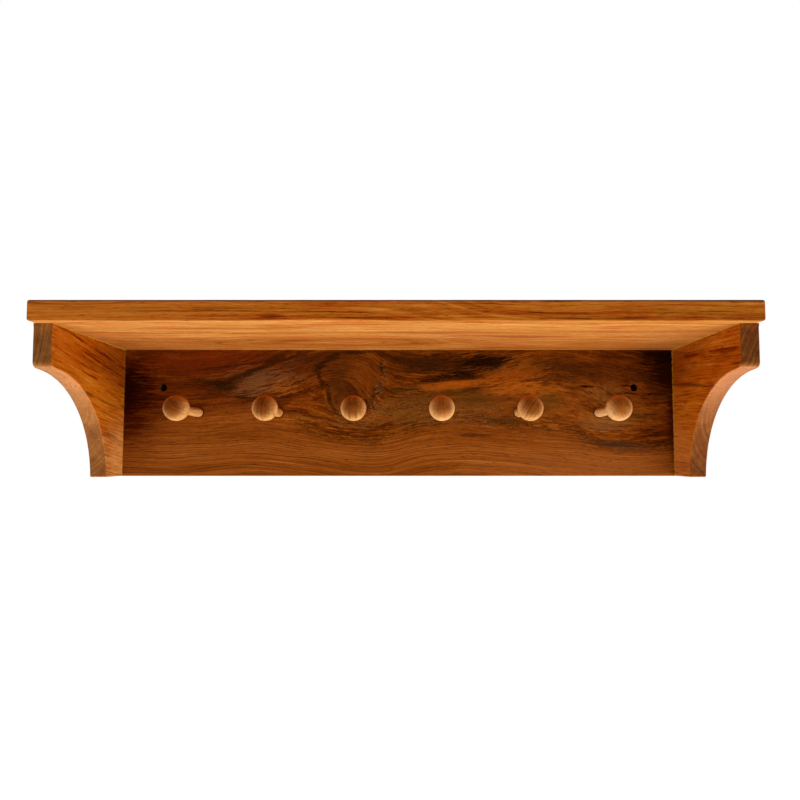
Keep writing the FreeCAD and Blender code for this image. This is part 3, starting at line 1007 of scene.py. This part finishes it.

# %% [markdown]
# The insides of the screw holes are painted near-black, as painted shade in the recess, and their gloss is
# turned off. The part of the rail within a hole's radius is taken for its inside, except on the back.

# %% Darken the screw holes and finish the rail
screw_aside = 284.0
recess_radius = 4.5
aside = away_from(tree, away_from(tree, straight_parts.outputs["X"]), screw_aside)
from_screw = add(tree, "CombineXYZ", {0: aside, 1: straight_parts.outputs["Y"]})
from_screw = add(tree, "VectorMath", {0: from_screw}, operation="LENGTH")
# Painted shade: near-black inside each screw hole, with no specular there.
painted_hole_shade = product(tree, smooth(tree, from_screw, recess_radius - 0.1, recess_radius + 0.2, 1.0, 0.0),
              smooth(tree, straight_parts.outputs["Z"], -1.0, -0.5, 1.0, 0.0))
colour = add(tree, "Mix", {0: painted_hole_shade, 1: colour, 2: linear("100602")}, data_type="RGBA")
shine = add(tree, "Math", {0: painted_hole_shade, 1: -oil_shine, 2: oil_shine}, operation="MULTIPLY_ADD")
oiled(oiled_rail, flowing, colour, tone, rail_wood, shine)
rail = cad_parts["back_rail"]
rail.data.materials.clear()
rail.data.materials.append(oiled_rail)

# %% [markdown]
# ### The brackets' wood
# Both brackets were cut from a board with the grain running from the wall to the nose. So the nose's front
# is a sawn end with dark, bowed rings, the inner faces show long lines, and the sweep turns slowly from
# one to the other. The left board's lines fall towards the wall by about nine degrees. Faces that look
# down, the sweep most of all, are mixed towards a paler, greyer colour: a painted sheen that stands in for
# the reflection of the bright light below.

# %% Choose the brackets' colours and marks
# The third field of a look is the colour of a painted sheen, which faces that look down are mixed towards in
# place of the reflection of the bright light below.
BracketLook = namedtuple("BracketLook", "wood pith sanded glue marks")
bracket_looks = {
    "left": BracketLook(
        Wood("YZX", five_tones("541a01 853602 a34b05 ba6211 d28834"),
             five_tones("502c13 6d411c 804c22 905e30 a6784a"),
             0.32, 0.8, 0.42, 50.0),
        Pith(20.0, -435.0, -9.0, 0.0), "c89262", 0.15, (
            # Painted shade: a dark patch in the upper corner by the wall, under the shelf and beside the
            # rail.
            Mark(-30, 30, 56, 38, 0, "541800", 0.75, 0.6, 1.5),
            Mark(-25, -86, 50, 46, 0, "de9c56", 0.85, 0.7, 1.0),
            Mark(-128, -16, 52, 34, 0, "4e1c06", 0.9, 0.6, 0.5, -350, 9),
            Mark(-140, 24, 44, 18, -9, "a84c04", 0.5, 0.6, 2.0),
            Mark(-72, -18, 60, 24, -9, "d07a18", 0.7, 0.6, 2.0),
            Mark(-100, 18, 60, 2.4, -9, "7a360a", 0.6, 0.5, 2.0),
            Mark(-102, -16, 14, 3, -9, "4a260c", 0.8, 0.4, 1.2),
            Mark(-62, -22, 46, 1.6, -8, "642a06", 0.75, 0.4, 0.8),
            Mark(-50, -36, 36, 1.4, -12, "6e3008", 0.6, 0.5, 1.0),
        )),
    "right": BracketLook(
        Wood("YZX", five_tones("4b1300 772a01 953e02 ae560a c57826"),
             five_tones("3d1d0b 562c13 693713 7b491d 96663c"),
             0.32, 0.8, 0.42, 80.0),
        Pith(-10.0, 435.0, 3.7, 0.0), "c88e62", 0.5, (
            Mark(-25, -80, 50, 50, 0, "c67632", 0.85, 0.7, 1.0),
            # Painted shade: a dark patch in the upper corner by the wall, under the shelf and beside the
            # rail.
            Mark(-42, 28, 56, 28, 0, "5c1a00", 0.7, 0.6, 2.0),
            Mark(-120, 6, 44, 9, 0, "b05608", 0.5, 0.6, 2.0),
            Mark(-52, -26, 60, 26, 0, "c06e14", 0.6, 0.6, 2.5),
            Mark(-128, -16, 52, 34, 0, "6a2c0c", 0.8, 0.6, 0.5, 350, 6),
            Mark(-75, -3, 62, 2.0, 7, "4e1e04", 0.8, 0.5, 1.0),
            Mark(-128, 22, 34, 1.4, 4, "5a2604", 0.7, 0.5, 0.8),
            Mark(-100, 27, 9, 3.5, 10, "5a2604", 0.75, 0.4, 1.5),
            Mark(-119, -8, 5, 4, 0, "5c4434", 0.8, 0.4, 0.5),
        )),
}
print("marks on the brackets:", {side: len(look.marks) for side, look in bracket_looks.items()})

# %% Finish the brackets
for side, (wood, pith, painted_sheen, glue, marks) in bracket_looks.items():
    finish, tree = new_material(f"oiled_hardwood_{side}_bracket")
    straight_place = grain_place(tree, wood.order)
    drift = streaks(tree, straight_place, 110.0, 25.0, wood.seed, 1.0)
    place = pushed(tree, straight_place, drift, (0.0, 6.0, 6.0))
    leaning = add(tree, "Mapping", {
        "Vector": place, "Rotation": (0, 0, -math.radians(pith.lean_across)),
    })
    tongues = streaks(tree, leaning, 34.0, 1.8, wood.seed + 1.0, 4.0)
    cloud = streaks(tree, leaning, 70.0, 14.0, wood.seed + 6.0)
    lines = add(tree, "SeparateXYZ", {0: leaning}).outputs["Y"]
    clusters = smooth(tree, streaks(tree, leaning, 60.0, 9.0, wood.seed + 9.0), 0.46, 0.60)
    dark_lines = product(tree, late_wood(tree, lines, 4.0, wood.seed + 7.0), clusters)
    mottle = streaks(tree, leaning, 6.0, 1.5, wood.seed + 11.0, 3.0, 0.7)
    tone = summed(tree, 0.43, ((rings(tree, lines, 2.4, wood.seed), 0.2), (rings(tree, lines, 8.0, 4.0), 0.2),
                               (dark_lines, -0.45), (tongues, 0.8), (mottle, 0.4), (cloud, 0.9)))
    field = distance_from_pith(tree, place, pith)
    end_tone = summed(tree, 0.47, ((rings(tree, field, 2.4, wood.seed), 0.6), (cloud, 0.9), (mottle, 0.4),
                                   (late_wood(tree, field, 2.8, wood.seed), -0.16)))
    colour = ramp_colour(tree, tone, wood.tones)
    colour = marked(tree, colour, place, tongues, marks)
    # Painted sheen: faces that look up or down are mixed towards the pale colour, standing in for the
    # reflection of the light below.
    painted_sheen_share = smooth(tree, faces_along(tree, "Z"), 0.15, 0.8, 0.0, 0.5)
    colour = add(tree, "Mix", {0: painted_sheen_share, 1: colour, 2: linear(painted_sheen)}, data_type="RGBA")
    parts = add(tree, "SeparateXYZ", {0: straight_place})
    speck = streaks(tree, straight_place, *speck_figure)
    outward = away_from(tree, parts.outputs["Z"])
    for axis, joint, amount in (("Y", shelf_low[2], 0.9), ("X", rail_face, glue)):
        inner_side = smooth(tree, outward, rail_half + 1, rail_half + 2, amount, 0.0)
        colour = glued(tree, colour, parts.outputs[axis], joint, speck, inner_side)
    oiled(finish, leaning, colour, end_tone, wood)
    brackets[side].data.materials.append(finish)

# %% [markdown]
# ### The pegs' wood
# The pegs are turned from a paler hardwood, with the grain along the peg. The knob's front is therefore a
# sawn end, darker than its sides, where the rings show as stripes. Each peg came from another piece.
# The upper sides are tinted darker and redder: painted shade under the shelf and painted orange light
# reflected from its underside. A ring of glue has dried round each foot.

# %% Choose the pegs' colours and marks
PegLook = namedtuple("PegLook", "turn lean stripe middle seed glue marks")
peg_tones = five_tones("9a5c26 ba7a3e d09658 deaa70 ecc494")
peg_end_tones = five_tones("401b05 612d09 783d0d 93531c b27638")
peg_looks = (
    PegLook(40, 2.0, 0.3, 0.44, 3.0, 0.4, (Mark(-105, 3, 60, 6, 0, "644a28", 0.7, 0.5, 0.5, -3, 7),)),
    PegLook(95, 1.6, 0.5, 0.42, 7.0, 0.3, (Mark(-105, 2, 60, 9, 0, "54300e", 0.7, 0.5, 1.5, -1, 3.5),)),
    PegLook(90, 2.4, 0.3, 0.45, 12.0, 0.3, (Mark(-105, 0, 60, 12, 0, "4c2a10", 0.75, 0.3, 0.5, -3.2, 1.4),
                                 Mark(-105, 0, 60, 12, 0, "4c2a10", 0.75, 0.3, 0.5, 3.0, 1.4))),
    PegLook(80, 1.4, 0.3, 0.58, 18.0, 0.3, ()),
    PegLook(120, 1.6, 0.5, 0.48, 25.0, 0.5, (Mark(-105, 1, 60, 3, 0, "4a2206", 0.75, 0.4, 1.0, 1, 6),)),
    PegLook(60, 1.5, 0.3, 0.62, 33.0, 0.9, (Mark(-105, 6, 60, 5, 0, "6a2c08", 0.6, 0.5, 1.0, -2, 8),)),
)
print("marks on the pegs:", [len(look.marks) for look in peg_looks])

# %% Finish the pegs
pith_away = 60.0
for number, (peg, look) in enumerate(zip(pegs, peg_looks), 1):
    low, high = node_box(f"peg_{number}")
    centre = (low + high) / 2
    wood = Wood("YZX", peg_tones, peg_end_tones, 0.4, 0.5, 0.5, look.seed)
    finish, tree = new_material(f"oiled_turned_hardwood_peg_{number}")
    place = grain_place(tree, wood.order)
    place = add(tree, "Mapping", {"Vector": place, "Location": (0, -centre[2], -centre[0])})
    drift = streaks(tree, place, 40.0, 12.0, wood.seed, 1.0)
    place = pushed(tree, place, drift, (0.0, 3.0, 3.0))
    way = math.radians(look.turn)
    pith = Pith(pith_away * math.cos(way), pith_away * math.sin(way), look.lean, look.lean)
    field = distance_from_pith(tree, place, pith)
    tongues = streaks(tree, place, 18.0, 1.6, wood.seed + 1.0, 4.0)
    tone = summed(tree, look.middle, ((rings(tree, field, 2.2, wood.seed), look.stripe), (tongues, 0.6),
                                      (streaks(tree, place, 30.0, 6.0, wood.seed + 6.0), 0.4)))
    colour = ramp_colour(tree, tone, wood.tones)
    # Painted shade and painted reflected light: the upward-facing sides are tinted darker and redder.
    facing = add(tree, "TexCoord").outputs["Normal"]
    facing_up = add(tree, "SeparateXYZ", {0: facing}).outputs["Z"]
    colour = tinted(tree, colour, smooth(tree, facing_up, 0.15, 0.75), "e1bb7c")
    colour = marked(tree, colour, place, tongues, look.marks)
    reach = add(tree, "SeparateXYZ", {0: place}).outputs["X"]
    speck = streaks(tree, place, *speck_figure)
    colour = glued(tree, colour, reach, rail_face, speck, look.glue)
    oiled(finish, place, colour, tone, wood)
    peg.data.materials.append(finish)

# %% [markdown]
# ### Dowels
# The hidden dowels are plain beech, dry and unoiled, with compressed flutes. Only a cut-away shows them.

# %% Finish the dowels
dowel_tones = ((0.2, "b08a5c"), (0.5, "c8a478"), (0.8, "dcc09a"))
dowel_wood = Wood("XYZ", dowel_tones, dowel_tones, 0.25, 0.3, 0.6)
beech, tree = new_material("raw_beech_dowels")
place = grain_place(tree, dowel_wood.order)
tone = summed(tree, 0.5, ((streaks(tree, place, 20.0, 3.0, 1.0), 0.6),))
oiled(beech, place, ramp_colour(tree, tone, dowel_tones), tone, dowel_wood)
for node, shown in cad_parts.items():
    if "dowel" in node:
        shown.data.materials.clear()
        shown.data.materials.append(beech)
